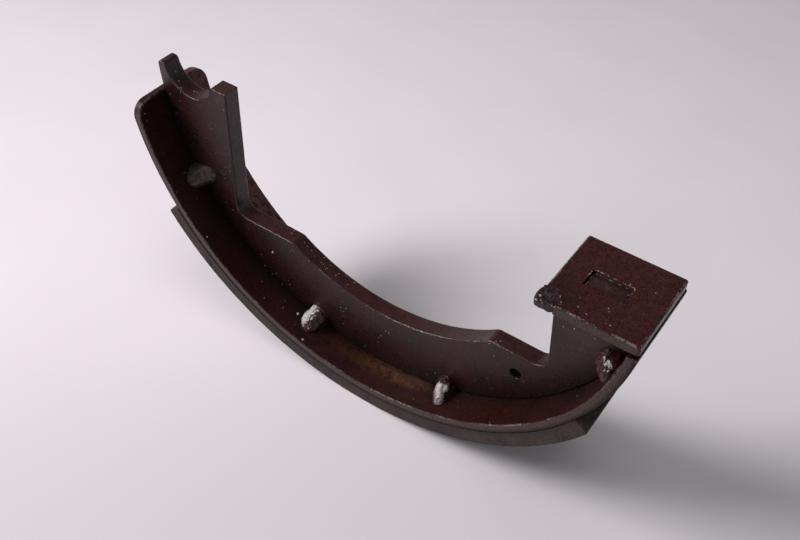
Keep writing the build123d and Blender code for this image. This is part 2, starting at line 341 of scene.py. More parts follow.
def painted_steel(name, colours, sizes, finish, stains_and_painted_patches, sheltered=(), flocks=()):
    """Brown-black stoving paint on rolled mild steel: satin, grainy, speckled, bright at edges with
    painted glints.

    Stains, with patches of painted light and shade among them, are (middle, reach, colour). Sheltered
    places and flocks are (middle, reach).
    """
    material, tree = new_material(name)
    coordinates = add_node(tree, "ShaderNodeTexCoord", {})
    place = coordinates.outputs["Object"]
    facing = add_node(tree, "ShaderNodeSeparateXYZ", {"Vector": coordinates.outputs["Normal"]})
    upwards = facing.outputs["Z"]

    # Noise of three widths: (width, detail, roughness).
    clouds, runs, grain = (
        add_node(
            tree,
            "ShaderNodeTexNoise",
            {"Vector": place, "Scale": 1 / width, "Detail": detail, "Roughness": roughness},
        )
        for width, detail, roughness in (
            (sizes.paint_cloud, 3.0, 0.6),
            (sizes.paint_run, 4.0, 0.65),
            (sizes.paint_grain, 2.0, 0.6),
        )
    )
    thick = add_node(tree, "ShaderNodeMapRange", {"Value": clouds, "From Min": 0.40, "From Max": 0.62})
    # Layers of colour over the plain paint, each with its share.
    layers = [(thick, colours.dark_paint_and_shade)]

    # Rust-red dust lies on the faces that look up, thicker in some patches.
    level = add_node(tree, "ShaderNodeMapRange", {"Value": upwards, "From Min": 0.70, "From Max": 0.97})
    patches = add_node(
        tree,
        "ShaderNodeMapRange",
        {"Value": runs, "From Min": 0.30, "From Max": 0.62, "To Min": 0.55},
    )
    dust = add_node(tree, "ShaderNodeMath", {0: level, 1: patches}, operation="MULTIPLY")
    dust = add_node(tree, "ShaderNodeMath", {0: dust, 1: finish.dust}, operation="MULTIPLY")
    layers.append((dust, colours.paint_rust))

    # Stains and patches of painted light and shade, each a flattened ball with a soft mottled rim,
    # fainter on the table's outer face.
    outwards = add_node(
        tree,
        "ShaderNodeVectorMath",
        {0: place, 1: coordinates.outputs["Normal"]},
        operation="DOT_PRODUCT",
    )
    strength = add_node(
        tree,
        "ShaderNodeMapRange",
        {
            "Value": outwards.outputs["Value"],
            "From Min": 0.0,
            "From Max": TABLE_INNER_RADIUS / 2,
            "To Min": 1.0,
            "To Max": finish.outer_stains,
        },
    )
    mottled = add_node(
        tree, "ShaderNodeMapRange", {"Value": runs, "From Min": 0.35, "From Max": 0.65}
    )
    strength = add_node(tree, "ShaderNodeMath", {0: mottled, 1: strength}, operation="MULTIPLY")
    for middle, reach, colour in stains_and_painted_patches:
        away = ball_distance(tree, place, middle, reach)
        near = add_node(
            tree,
            "ShaderNodeMapRange",
            {"Value": away, "From Min": 1.0, "From Max": FULL_SHARE},
            interpolation_type="SMOOTHSTEP",
        )
        share = add_node(tree, "ShaderNodeMath", {0: near, 1: strength}, operation="MULTIPLY")
        layers.append((share, colour))

    # Painted sheen: the sides are lightened towards a grey that stands in for the pale floor they
    # reflect; along the adhesive they are darker, with the adhesive's colour and painted shade in the
    # groove.
    sideways = add_node(tree, "ShaderNodeMath", {0: facing.outputs["Y"]}, operation="ABSOLUTE")
    sideways = add_node(
        tree,
        "ShaderNodeMapRange",
        {"Value": sideways, "From Min": 0.7, "From Max": 0.95, "To Max": finish.side_spray},
    )
    spray = add_node(
        tree,
        "ShaderNodeMix",
        {
            "Factor": near_seam(tree, place, TABLE_OUTER_RADIUS, -SEAM_REACH),
            MIX_LOW: colours.spray,
            MIX_HIGH: colours.seam,
        },
        data_type="RGBA",
    )
    layers.append((sideways, spray))
    tone = colours.paint
    for share, colour in layers:
        tone = add_node(
            tree,
            "ShaderNodeMix",
            {"Factor": share, MIX_LOW: tone, MIX_HIGH: colour},
            data_type="RGBA",
        )

    # The paint's grain: paler points and darker pits of the same colour.
    lightness = add_node(
        tree,
        "ShaderNodeMapRange",
        {"Value": grain, "From Min": 0.32, "From Max": 0.70, "To Min": 0.3, "To Max": 2.3},
    )
    tone = add_node(tree, "ShaderNodeVectorMath", {0: tone, "Scale": lightness}, operation="SCALE")

    # Painted shade: the paint is darkened in corners and recesses, where few of the occlusion rays get
    # out.
    open_share = add_node(
        tree,
        "ShaderNodeAmbientOcclusion",
        {"Distance": sizes.corner_grime},
        samples=CORNER_SAMPLES,
    ).outputs["AO"]
    grime = add_node(
        tree,
        "ShaderNodeMapRange",
        {"Value": open_share, "From Min": 0.90, "From Max": 0.45, "To Max": finish.grime},
    )

    # Bare steel and painted glints show in specks and along the upper edges, but not in the sheltered
    # places.
    specks = bright_specks_and_glints(tree, place, clouds, sizes, flocks)
    worn = worn_and_glinting_edges(tree, place, sizes, upwards, finish.worn_from)
    for middle, reach in sheltered:
        away = ball_distance(tree, place, middle, reach)
        outside = add_node(
            tree, "ShaderNodeMapRange", {"Value": away, "From Min": 0.95, "From Max": 1.1}
        )
        worn = add_node(tree, "ShaderNodeMath", {0: worn, 1: outside}, operation="MULTIPLY")
    bare = add_node(tree, "ShaderNodeMath", {0: specks, 1: worn}, operation="MAXIMUM")
    for share, colour in ((grime, colours.shade_tone), (bare, colours.bare_steel_and_glint)):
        tone = add_node(
            tree,
            "ShaderNodeMix",
            {"Factor": share, MIX_LOW: tone, MIX_HIGH: colour},
            data_type="RGBA",
        )

    gloss = add_node(
        tree,
        "ShaderNodeMapRange",
        {"Value": runs, "From Min": 0.3, "From Max": 0.7, "To Min": 0.22, "To Max": 0.38},
    )
    relief = add_node(
        tree, "ShaderNodeMath", {0: runs, 1: PATCH_RELIEF, 2: grain}, operation="MULTIPLY_ADD"
    )
    metallic = add_node(
        tree, "ShaderNodeMath", {0: bare, 1: DUSTY_METALLIC}, operation="MULTIPLY"
    )
    bump = add_node(
        tree, "ShaderNodeBump", {"Strength": 0.7, "Distance": PAINT_RELIEF, "Height": relief}
    )
    surface = add_node(
        tree,
        "ShaderNodeBsdfPrincipled",
        {
            "Base Color": tone,
            "Metallic": metallic,
            "Roughness": gloss,
            "Specular IOR Level": finish.gleam,
            "Normal": bump,
        },
    )
    add_node(tree, "ShaderNodeOutputMaterial", {"Surface": surface})
    return material


# The lining's grain is this much finer than its chips, and its clouds this much wider.
GRAINS_PER_FIBRE = 4
FIBRES_PER_CLOUD = 9
LINING_RELIEF = 0.15 * MM
# One drop of adhesive is as wide as this many grains of paint.
GRAINS_PER_DROP = 3
ADHESIVE_RELIEF = 0.2 * MM
# Depth of a weld's bumps, and how much the fine ones count in them beside the lumps.
WELD_RELIEF = 0.15 * MM
FINE_RELIEF = 0.35
WELD_GLEAM = 0.34
# Roughness of glossy and of dull weld metal, how far either varies, and what scale adds.
GLOSSY = 0.16
DULL = 0.42
GLOSS_RANGE = 0.18
SCALE_DULLNESS = 0.25


def friction_lining(colours, sizes):
    """Moulded friction lining, ground on its face: matt resin with chips and cross-laid fibres."""
    material, tree = new_material("moulded_friction_lining")
    place = add_node(tree, "ShaderNodeTexCoord", {}).outputs["Object"]
    # Fibres lie across the shoe, so the pattern is drawn out along Y.
    across = add_node(tree, "ShaderNodeMapping", {"Vector": place, "Scale": (1.0, 0.3, 1.0)})
    chips = add_node(
        tree, "ShaderNodeTexVoronoi", {"Vector": across, "Scale": 1 / sizes.fibre_length}
    )
    fine = add_node(
        tree,
        "ShaderNodeTexNoise",
        {"Vector": place, "Scale": GRAINS_PER_FIBRE / sizes.fibre_length, "Detail": 2.0},
    )
    clouds = add_node(
        tree,
        "ShaderNodeTexNoise",
        {"Vector": place, "Scale": 1 / (FIBRES_PER_CLOUD * sizes.fibre_length), "Detail": 3.0},
    )
    # Layers of colour over the plain resin: (pattern, from, to, full share, colour).
    tone = colours.lining
    for value, low, high, full, colour in (
        (clouds, 0.35, 0.65, 1.0, colours.lining_dark),
        (chips.outputs["Distance"], 0.35, 0.08, 0.6, colours.lining_chip),
        (fine, 0.52, 0.72, 0.8, colours.lining_dark),
        # Darker along the bond line: the adhesive's colour, and painted shade in the groove there.
        (near_seam(tree, place, TABLE_OUTER_RADIUS, SEAM_REACH), 0.0, 1.0, 0.8, colours.seam),
    ):
        share = add_node(
            tree,
            "ShaderNodeMapRange",
            {"Value": value, "From Min": low, "From Max": high, "To Max": full},
        )
        tone = add_node(
            tree,
            "ShaderNodeMix",
            {"Factor": share, MIX_LOW: tone, MIX_HIGH: colour},
            data_type="RGBA",
        )
    relief = add_node(
        tree, "ShaderNodeMath", {0: chips.outputs["Distance"], 1: fine}, operation="ADD"
    )
    bump = add_node(
        tree, "ShaderNodeBump", {"Strength": 0.8, "Distance": LINING_RELIEF, "Height": relief}
    )
    roughness = add_node(
        tree,
        "ShaderNodeMapRange",
        {"Value": fine, "From Min": 0.3, "From Max": 0.7, "To Min": 0.75, "To Max": 0.95},
    )
    surface = add_node(
        tree,
        "ShaderNodeBsdfPrincipled",
        {"Base Color": tone, "Roughness": roughness, "Normal": bump},
    )
    add_node(tree, "ShaderNodeOutputMaterial", {"Surface": surface})
    return material


def adhesive_film(colours, sizes):
    """Cured phenolic adhesive: a dark red-brown film, uneven where it was squeezed out."""
    material, tree = new_material("phenolic_adhesive")
    place = add_node(tree, "ShaderNodeTexCoord", {}).outputs["Object"]
    drops = add_node(
        tree,
        "ShaderNodeTexNoise",
        {"Vector": place, "Scale": 1 / (GRAINS_PER_DROP * sizes.paint_grain), "Detail": 3.0},
    )
    share = add_node(tree, "ShaderNodeMapRange", {"Value": drops, "From Min": 0.42, "From Max": 0.62})
    tone = add_node(
        tree,
        "ShaderNodeMix",
        {"Factor": share, MIX_LOW: colours.dark_paint_and_shade, MIX_HIGH: colours.adhesive},
        data_type="RGBA",
    )
    bump = add_node(
        tree, "ShaderNodeBump", {"Strength": 0.8, "Distance": ADHESIVE_RELIEF, "Height": drops}
    )
    roughness = add_node(
        tree,
        "ShaderNodeMapRange",
        {"Value": drops, "From Min": 0.3, "From Max": 0.7, "To Min": 0.3, "To Max": 0.55},
    )
    surface = add_node(
        tree,
        "ShaderNodeBsdfPrincipled",
        {"Base Color": tone, "Roughness": roughness, "Normal": bump},
    )
    add_node(tree, "ShaderNodeOutputMaterial", {"Surface": surface})
    return material


def weld_metal(name, colours, sizes, paint, smoothest=GLOSSY):
    """Weld metal under thin glossy paint: purple-brown, with pale patches that are partly silver-grey
    scale and partly painted highlight.
    """
    material, tree = new_material(name)
    place = add_node(tree, "ShaderNodeTexCoord", {}).outputs["Object"]
    lumps = add_node(
        tree,
        "ShaderNodeTexNoise",
        {"Vector": place, "Scale": 1 / sizes.ripple_pitch, "Detail": 3.0, "Roughness": 0.6},
    )
    fine = add_node(
        tree,
        "ShaderNodeTexNoise",
        {"Vector": place, "Scale": 1 / sizes.paint_grain, "Detail": 2.0},
    )
    thick = add_node(tree, "ShaderNodeMapRange", {"Value": lumps, "From Min": 0.4, "From Max": 0.6})

    # The piece's own attribute says where scale and painted highlight lie; noise frays their rim and
    # pits them.
    scale_and_highlight = add_node(tree, "ShaderNodeAttribute", {}, attribute_name="slag_and_highlight").outputs["Fac"]
    fray = add_node(
        tree,
        "ShaderNodeMapRange",
        {"Value": fine, "From Min": 0.3, "From Max": 0.7, "To Min": -0.18, "To Max": 0.18},
    )
    frayed = add_node(tree, "ShaderNodeMath", {0: scale_and_highlight, 1: fray}, operation="ADD")
    scale_and_highlight = add_node(
        tree, "ShaderNodeMapRange", {"Value": frayed, "From Min": 0.32, "From Max": 0.52}
    )
    pits = add_node(tree, "ShaderNodeMapRange", {"Value": lumps, "From Min": 0.32, "From Max": 0.40})
    scale_and_highlight = add_node(tree, "ShaderNodeMath", {0: scale_and_highlight, 1: pits}, operation="MULTIPLY")
    tone = paint
    for share, colour in ((thick, colours.dark_paint_and_shade), (scale_and_highlight, colours.slag_and_highlight)):
        tone = add_node(
            tree,
            "ShaderNodeMix",
            {"Factor": share, MIX_LOW: tone, MIX_HIGH: colour},
            data_type="RGBA",
        )
    relief = add_node(
        tree, "ShaderNodeMath", {0: fine, 1: FINE_RELIEF, 2: lumps}, operation="MULTIPLY_ADD"
    )
    bump = add_node(
        tree, "ShaderNodeBump", {"Strength": 0.4, "Distance": WELD_RELIEF, "Height": relief}
    )
    polish = add_node(
        tree,
        "ShaderNodeMapRange",
        {
            "Value": fine,
            "From Min": 0.3,
            "From Max": 0.7,
            "To Min": smoothest,
            "To Max": smoothest + GLOSS_RANGE,
        },
    )
    # The pale patches are duller than the paint round them.
    roughness = add_node(
        tree, "ShaderNodeMath", {0: scale_and_highlight, 1: SCALE_DULLNESS, 2: polish}, operation="MULTIPLY_ADD"
    )
    metallic = add_node(
        tree, "ShaderNodeMath", {0: scale_and_highlight, 1: DUSTY_METALLIC}, operation="MULTIPLY"
    )
    surface = add_node(
        tree,
        "ShaderNodeBsdfPrincipled",
        {
            "Base Color": tone,
            "Metallic": metallic,
            "Roughness": roughness,
            "Specular IOR Level": WELD_GLEAM,
            "Normal": bump,
        },
    )
    add_node(tree, "ShaderNodeOutputMaterial", {"Surface": surface})
    return material


# ---- Meshes ----

JOIN_DISTANCE = 0.001 * MM
FLAT_ANGLE = math.radians(0.5)
SHARP_ANGLE = math.radians(24)
EDGE_SEGMENTS = 2


def whole_copy(node):
    """Copy of a CAD node's mesh with its loose triangles joined into whole flat faces."""
    mesh = bmesh.new()
    mesh.from_mesh(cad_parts[node].data)
    bmesh.ops.remove_doubles(mesh, verts=mesh.verts, dist=JOIN_DISTANCE)
    bmesh.ops.dissolve_limit(
        mesh, angle_limit=FLAT_ANGLE, verts=mesh.verts, edges=mesh.edges, delimit=set()
    )
    return mesh


def soften(mesh, radius):
    """Round every sharp edge."""
    sharp = [e for e in mesh.edges if e.is_manifold and e.calc_face_angle(0) > SHARP_ANGLE]
    bmesh.ops.bevel(
        mesh,
        geom=sharp,
        offset=radius,
        offset_type="OFFSET",
        segments=EDGE_SEGMENTS,
        profile=0.5,
        affect="EDGES",
        clamp_overlap=True,
        material=-1,
    )


def place_piece(mesh, name, material):
    """Make an object of a finished mesh, with its material, on the shoe's body."""
    data = bpy.data.meshes.new(name)
    mesh.to_mesh(data)
    mesh.free()
    data.materials.append(material)
    for polygon in data.polygons:
        polygon.use_smooth = True
    piece = bpy.data.objects.new(name, data)
    bpy.context.scene.collection.objects.link(piece)
    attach(piece, BODY)
    return piece


def dress_node(node, name, material, edge):
    """Replace a CAD node by a copy with rounded edges and flat broad faces."""
    mesh = whole_copy(node)
    soften(mesh, edge)
    piece = place_piece(mesh, name, material)
    broad_faces = piece.modifiers.new("broad_faces", "WEIGHTED_NORMAL")
    broad_faces.weight = 100
    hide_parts(node)


# ---- Welds ----

BALL_DETAIL = 6
# How far a bead sinks into the web and the table.
BEAD_SINK = 0.05 * MM
# Ripples run across a bead, and slant with the torch.
RIPPLE_HEIGHT = 0.04 * MM
RIPPLE_SLANT = 0.4
LUMP_WIDTH = 2.2 * MM
# Fractal noise of the lumps: loss of height, gap and number of its octaves.
TACK_NOISE = (0.9, 2.0, 3)
ROUGH_NOISE = (0.8, 2.0, 4)
NOISE_MIDDLE = 0.5
# A rough weld is rough on top and smoother at its sides.
SIDE_SHARE = 0.3
TOP_SHARE = 1.2
# A crater is narrower than the lump it lies in, by the root of this.
CRATER_STEEPNESS = 5
# Depth of the bevelled rim of the crust's solid.
RIM_DEPTH = 0.8 * MM


def lump_height(place, lumps):
    """Height that the lumps and craters add at a place, each (middle, reach, height, crater)."""
    height = 0.0
    for middle, reach, peak, crater in lumps:
        away = (place - Vector(middle) * MM).length / (reach * MM)
        dip = crater * math.exp(-CRATER_STEEPNESS * away * away)
        height += peak * MM * (math.exp(-away * away) - dip)
    return height


def slag_share(place, streaks):
    """How much silver scale and painted highlight a place has, by streaks of (start, end, half width).
    """
    share = 0.0
    for start, end, half_width in streaks:
        first = Vector(start) * MM
        line = Vector(end) * MM - first
        along = max(0.0, min(1.0, (place - first).dot(line) / line.length_squared))
        away = (place - first - line * along).length
        share = max(share, 1.0 - 0.5 * away / (half_width * MM))
    return share


class BeadSeat:
    """Where a tack weld sits: its corner between web and table, its axes and half lengths."""

    def __init__(self, node, side):
        corners = [v.co.copy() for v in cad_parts[node].data.vertices]
        middle = sum(corners, Vector()) / len(corners)
        angle = math.atan2(middle.x, -middle.z)
        self.along = Vector((math.cos(angle), 0, math.sin(angle)))
        self.inwards = Vector((-math.sin(angle), 0, math.cos(angle)))
        self.across = DRUM_AXIS * side
        self.corner = -self.inwards * TABLE_INNER_RADIUS + self.across * WEB_FACE
        local = [corner - self.corner for corner in corners]
        self.half_length = max(abs(p.dot(self.along)) for p in local)
        self.table_leg = max(p.dot(self.across) for p in local)
        self.web_leg = max(p.dot(self.inwards) for p in local)

    def reach(self, direction, fullness):
        """How far the bead reaches from its corner in a direction of its own axes."""
        across = abs(direction.y) / self.table_leg
        inwards = abs(direction.z) / self.web_leg
        section = (across**fullness + inwards**fullness) ** (2 / fullness)
        return (section + (direction.x / self.half_length) ** 2) ** -0.5

    def point(self, local):
        """Place in the frame of a point on the bead's own axes, held out of web and table."""
        lift = local.x**2 / (2 * TABLE_INNER_RADIUS)
        return (
            self.corner
            + self.along * local.x
            + self.across * max(local.y, -BEAD_SINK)
            + self.inwards * (max(local.z, -BEAD_SINK) + lift)
        )


# What makes one tack weld its own: its form, roughness, lumps and streaks of scale and painted
# highlight.
TackShape = namedtuple("TackShape", "stretch fullness roughness lumps streaks")
# Places are (along the seam, out from the web, in from the table) in millimetres.
TACK_SHAPES = [
    TackShape(
        stretch=1.0,
        fullness=1.05,
        roughness=0.12,
        lumps=[
            ((-4.4, 3.3, 3.0), 1.2, 0.5, 0.0),
            ((3.5, 2.0, 9.0), 3.0, 0.9, 0.0),
            ((2.5, 6.0, 1.5), 3.0, 0.8, 0.0),
        ],
        streaks=[],
    ),
    TackShape(
        stretch=1.2,
        fullness=1.1,
        roughness=0.8,
        lumps=[
            ((-4.8, 5.0, 1.5), 2.2, 1.0, 0.0),
            ((-3.6, 1.4, 5.4), 1.5, 0.7, 0.0),
            ((3.6, 2.4, 5.0), 1.2, 1.1, 0.8),
            ((0.6, 4.2, 4.4), 1.1, 1.1, 1.1),
            ((1.6, 8.0, 1.3), 1.4, 1.0, 0.0),
            ((3.2, 5.0, 2.6), 1.0, 0.9, 0.0),
            ((0.8, 1.8, 6.8), 1.0, 0.8, 0.7),
        ],
        streaks=[
            ((-4.4, 7.4, 0.9), (-4.2, 3.8, 3.4), 1.8),
            ((-4.2, 3.8, 3.4), (-3.4, 0.8, 6.2), 1.2),
        ],
    ),
    TackShape(
        stretch=1.0,
        fullness=1.6,
        roughness=1.1,
        lumps=[
            ((2.0, 4.6, 5.2), 1.7, 0.8, 1.5),
            ((3.2, 2.2, 5.4), 1.6, 0.9, 0.0),
            ((1.6, 8.8, 2.0), 1.6, 0.6, 0.0),
            ((-0.4, 2.5, 7.1), 1.1, 0.5, 0.0),
        ],
        streaks=[
            ((1.8, 9.4, 1.4), (0.4, 5.4, 5.4), 1.5),
            ((0.4, 5.4, 5.4), (2.6, 4.4, 4.6), 1.3),
        ],
    ),
    TackShape(
        stretch=1.0,
        fullness=1.35,
        roughness=0.9,
        lumps=[((2.2, 7.2, 2.1), 1.5, 0.6, 0.0), ((3.9, 3.0, 5.0), 1.5, 0.6, 0.0)],
        streaks=[((4.0, 4.4, 3.4), (4.2, 5.6, 1.6), 0.5)],
    ),
]


# What makes one rough weld its own: lumps, streaks of scale and painted highlight, and a side that is
# filled up.
RoughShape = namedtuple(
    "RoughShape", "lump_width lumps streaks filled_side", defaults=[(), (), None]
)
FILLET_SHAPE = RoughShape(LUMP_WIDTH)
# The crust of the plate's burnt corner has lumps, two craters and a streak of scale and painted
# highlight.
CRUST_SHAPE = RoughShape(
    lump_width=LUMP_WIDTH / 2,
    lumps=[
        ((77.9, -15.4, -10.8), 1.3, 0.35, 2.0),
        ((77.5, -17.4, -10.8), 0.6, 0.35, 0.0),
        ((80.6, -16.9, -10.8), 1.0, 0.2, 1.8),
        ((81.2, -14.2, -10.8), 0.7, 0.3, 0.0),
        ((80.0, -14.6, -10.8), 0.5, 0.3, 0.0),
        ((79.6, -18.4, -11.6), 0.7, 0.2, 0.0),
    ],
    streaks=[((77.3, -17.2, -10.8), (77.6, -17.5, -10.9), 0.35)],
    filled_side=Vector((1, 1, 0)),
)


def fine_ball():
    """Ball of radius 1 for a weld, and its layer for the share of scale and painted highlight."""
    mesh = bmesh.new()
    bmesh.ops.create_icosphere(mesh, subdivisions=BALL_DETAIL, radius=1.0)
    return mesh, mesh.verts.layers.float.new("slag_and_highlight")


def place_weld(mesh, name, material, node):
    """Make a finished weld a piece that stands for its CAD node."""
    bmesh.ops.recalc_face_normals(mesh, faces=mesh.faces)
    piece = place_piece(mesh, name, material)
    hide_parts(node)


def make_bead(name, node, side, material, sizes, shape, seed):
    """Lumpy weld bead: a ball shaped to fill the corner between web and table."""
    seat = BeadSeat(node, side)
    seat.half_length *= shape.stretch
    mesh, slag_and_highlight = fine_ball()
    for vertex in mesh.verts:
        direction = vertex.co.normalized()
        local = direction * seat.reach(direction, shape.fullness)
        rough = noise.fractal(local / LUMP_WIDTH + Vector((seed, 0, 0)), *TACK_NOISE)
        turns = (local.x + RIPPLE_SLANT * local.y) / sizes.ripple_pitch
        ripple = RIPPLE_HEIGHT * math.sin(2 * math.pi * turns)
        height = shape.roughness * (rough * sizes.bead_roughness + ripple)
        height += lump_height(local, shape.lumps)
        vertex[slag_and_highlight] = slag_share(local, shape.streaks)
        vertex.co = seat.point(local * (1 + height / local.length))
    place_weld(mesh, name, material, node)


def make_rough_weld(name, node, material, sizes, shape, seed):
    """Rough copy of a weld's CAD node: a ball shrunk onto it from outside and then lumped.

    Where the shape has a filled side, the solid's bevelled rim is filled up there to its top.
    """
    solid = whole_copy(node)
    tree = BVHTree.FromBMesh(solid)
    middle = sum((v.co for v in solid.verts), Vector()) / len(solid.verts)
    solid.free()
    low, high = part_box(node)
    size = high - low
    mesh, slag_and_highlight = fine_ball()
    for vertex in mesh.verts:
        outside = middle + Vector([a * b for a, b in zip(vertex.co, size)])
        surface = tree.ray_cast(outside, middle - outside)[0]
        if surface is None:
            surface = tree.find_nearest(outside)[0]
        direction = (surface - middle).normalized()
        if shape.filled_side and direction.dot(shape.filled_side) > 0:
            if surface.z > high.z - RIM_DEPTH:
                surface.z = high.z
        rough = noise.fractal(surface / shape.lump_width + Vector((seed, 0, 0)), *ROUGH_NOISE)
        height = (rough - NOISE_MIDDLE) * sizes.bead_roughness
        height += lump_height(surface, shape.lumps)
        height *= SIDE_SHARE + TOP_SHARE * direction.z**2
        vertex[slag_and_highlight] = slag_share(surface, shape.streaks)
        vertex.co = surface + direction * height
    place_weld(mesh, name, material, node)


# Balls of spatter: (place in millimetres on the near side, radius, share of scale and painted
# highlight).
SPATTER = [
    ((-57.8, -4.0, -79.9), 0.53, 1.0),
    ((-40.5, -9.7, -105.0), 0.61, 1.0),
    ((-30.8, -18.2, -108.2), 0.57, 0.9),
    ((-46.7, -12.6, -102.3), 0.37, 0.4),
    ((-54.9, -15.7, -98.2), 0.37, 0.4),
    ((-84.0, -17.9, -74.8), 0.37, 0.5),
    ((-100.3, -9.6, -50.9), 0.33, 0.3),
    ((-98.0, -18.4, -55.2), 0.49, 0.0),
    ((-38.0, -14.6, -105.9), 0.33, 0.0),
    ((28.0, -15.0, -109.0), 0.37, 0.3),
    ((46.0, -9.0, -102.7), 0.33, 0.2),
    ((33.0, -4.0, -99.5), 0.33, 0.1),
    ((-28.0, -4.0, -97.0), 0.33, 0.1),
]
SPATTER_DETAIL = 3
# How far a ball's middle stands off the surface, as a share of its radius.
SPATTER_LIFT = 0.15
# A ball belongs to the web when it lies this close to the web's face, and else to the table.
SPATTER_SNAP = 0.01 * MM


def make_spatter(name, material):
    """Balls of weld spatter stuck to the web and the table, on both sides."""
    mesh = bmesh.new()
    slag_and_highlight = mesh.verts.layers.float.new("slag_and_highlight")
    for side in SIDES.values():
        for place, radius, share in SPATTER:
            place = Vector((place[0], -side * place[1], place[2])) * MM
            if abs(abs(place.y) - WEB_FACE) < SPATTER_SNAP:
                outwards = DRUM_AXIS * side
            else:
                outwards = -Vector((place.x, 0, place.z)).normalized()
                place = -outwards * TABLE_INNER_RADIUS + DRUM_AXIS * place.y
            middle = place + outwards * radius * MM * SPATTER_LIFT
            made = bmesh.ops.create_icosphere(
                mesh,
                subdivisions=SPATTER_DETAIL,
                radius=radius * MM,
                matrix=Matrix.Translation(middle),
            )
            for vertex in made["verts"]:
                vertex[slag_and_highlight] = share
    piece = place_piece(mesh, name, material)


# ---- Stage ----

CAMERA_PLACE = Vector((163.47, -225.27, 223.54)) * MM
CAMERA_AIM = Vector((8.68, 0.0, -54.53)) * MM
CAMERA_ROLL = math.radians(1.36)
CAMERA_LENS = 43.4
SENSOR_WIDTH = 36.0
CLIP_START = 10 * MM

# Lamps: (name, place, width, power). All point at the floor under the shoe.
LAMPS = [
    ("key_lamp", Vector((-0.85, -0.52, 0.66)), 0.55, 3.7),
    ("fill_lamp", Vector((0.25, -0.15, 1.6)), 1.0, 1.6),
]
LAMP_COLOUR = "#ffffff"
LAMP_AIM = Vector((0, 0, FLOOR_HEIGHT))
# Lamps shine forwards only, so that no hot spot lies on the floor beneath them.
LAMP_SPREAD = math.radians(80)

BOARD_RADIUS = 2.5
BOARD_SEGMENTS = 96
BOARD_CLOUD = "#bdb2bb"
# Painted shade: the darker colour of the board's near side.
BOARD_SHADED = "#cfc8cd"
CLOUD_WIDTH = 60 * MM
# Painted shade: the board turns darker towards this side, from the first distance to the second.
NEAR_SIDE = Vector((0.566, -0.824, 0.0))
GREY_START = -60 * MM
GREY_END = 90 * MM
# Where the board starts to run into the surroundings, and where it is gone.
FADE_START = 0.48
FADE_END = 1.0

# The surroundings: their colour, and their strength low down and overhead.
SKY_COLOUR = "#f4f4f6"
SKY_LOW = 0.56
SKY_HIGH = 0.08


def painted_board(colours):
    """Matt painted board: pale, faintly cloudy, with painted shade on the side where one stands."""
    material, tree = new_material("matt_painted_board")
    place = add_node(tree, "ShaderNodeTexCoord", {}).outputs["Object"]
    clouds = add_node(
        tree, "ShaderNodeTexNoise", {"Vector": place, "Scale": 1 / CLOUD_WIDTH, "Detail": 3.0}
    )
    share = add_node(
        tree,
        "ShaderNodeMapRange",
        {"Value": clouds, "From Min": 0.3, "From Max": 0.7, "To Max": 0.1},
    )
    tone = add_node(
        tree,
        "ShaderNodeMix",
        {"Factor": share, MIX_LOW: colours.floor, MIX_HIGH: linear(BOARD_CLOUD)},
        data_type="RGBA",
    )
    nearness = add_node(
        tree, "ShaderNodeVectorMath", {0: place, 1: NEAR_SIDE}, operation="DOT_PRODUCT"
    ).outputs["Value"]
    grey = add_node(
        tree,
        "ShaderNodeMapRange",
        {"Value": nearness, "From Min": GREY_START, "From Max": GREY_END},
        interpolation_type="SMOOTHSTEP",
    )
    tone = add_node(
        tree,
        "ShaderNodeMix",
        {"Factor": grey, MIX_LOW: tone, MIX_HIGH: linear(BOARD_SHADED)},
        data_type="RGBA",
    )
    board = add_node(tree, "ShaderNodeBsdfPrincipled", {"Base Color": tone, "Roughness": 0.9})

    # Far away the board runs into the studio's pale surroundings, with no horizon.
    away = add_node(tree, "ShaderNodeVectorMath", {0: place}, operation="LENGTH")
    fade = add_node(
        tree,
        "ShaderNodeMapRange",
        {"Value": away.outputs["Value"], "From Min": FADE_START, "From Max": FADE_END},
        interpolation_type="SMOOTHSTEP",
    )
    path = add_node(tree, "ShaderNodeLightPath", {})
    seen = add_node(
        tree,
        "ShaderNodeMath",
        {0: path.outputs["Is Camera Ray"], 1: path.outputs["Is Glossy Ray"]},
        operation="MAXIMUM",
    )
    seen = add_node(tree, "ShaderNodeMath", {0: seen, 1: fade}, operation="MULTIPLY")
    haze = add_node(
        tree, "ShaderNodeEmission", {"Color": linear(SKY_COLOUR), "Strength": SKY_LOW}
    )
    surface = add_node(tree, "ShaderNodeMixShader", {0: seen, 1: board, 2: haze})
    add_node(tree, "ShaderNodeOutputMaterial", {"Surface": surface})
    return material


def make_floor(colours):
    """Round board under the shoe."""
    mesh = bmesh.new()
    bmesh.ops.create_circle(mesh, cap_ends=True, segments=BOARD_SEGMENTS, radius=BOARD_RADIUS)
    bmesh.ops.translate(mesh, verts=mesh.verts, vec=(0, 0, FLOOR_HEIGHT))
    data = bpy.data.meshes.new("floor")
    mesh.to_mesh(data)
    mesh.free()
    data.materials.append(painted_board(colours))
    floor = bpy.data.objects.new("floor", data)
    bpy.context.scene.collection.objects.link(floor)


def make_lamp(name, place, width, power):
    """Square soft lamp that points at the floor under the shoe."""
    lamp = bpy.data.lights.new(name, "AREA")
    lamp.shape = "SQUARE"
    lamp.spread = LAMP_SPREAD
    lamp.size = width
    lamp.energy = power
    lamp.color = linear(LAMP_COLOUR)[:3]
    holder = bpy.data.objects.new(name, lamp)
    holder.location = place
    holder.rotation_euler = (LAMP_AIM - place).to_track_quat("-Z", "Y").to_euler()
    bpy.context.scene.collection.objects.link(holder)


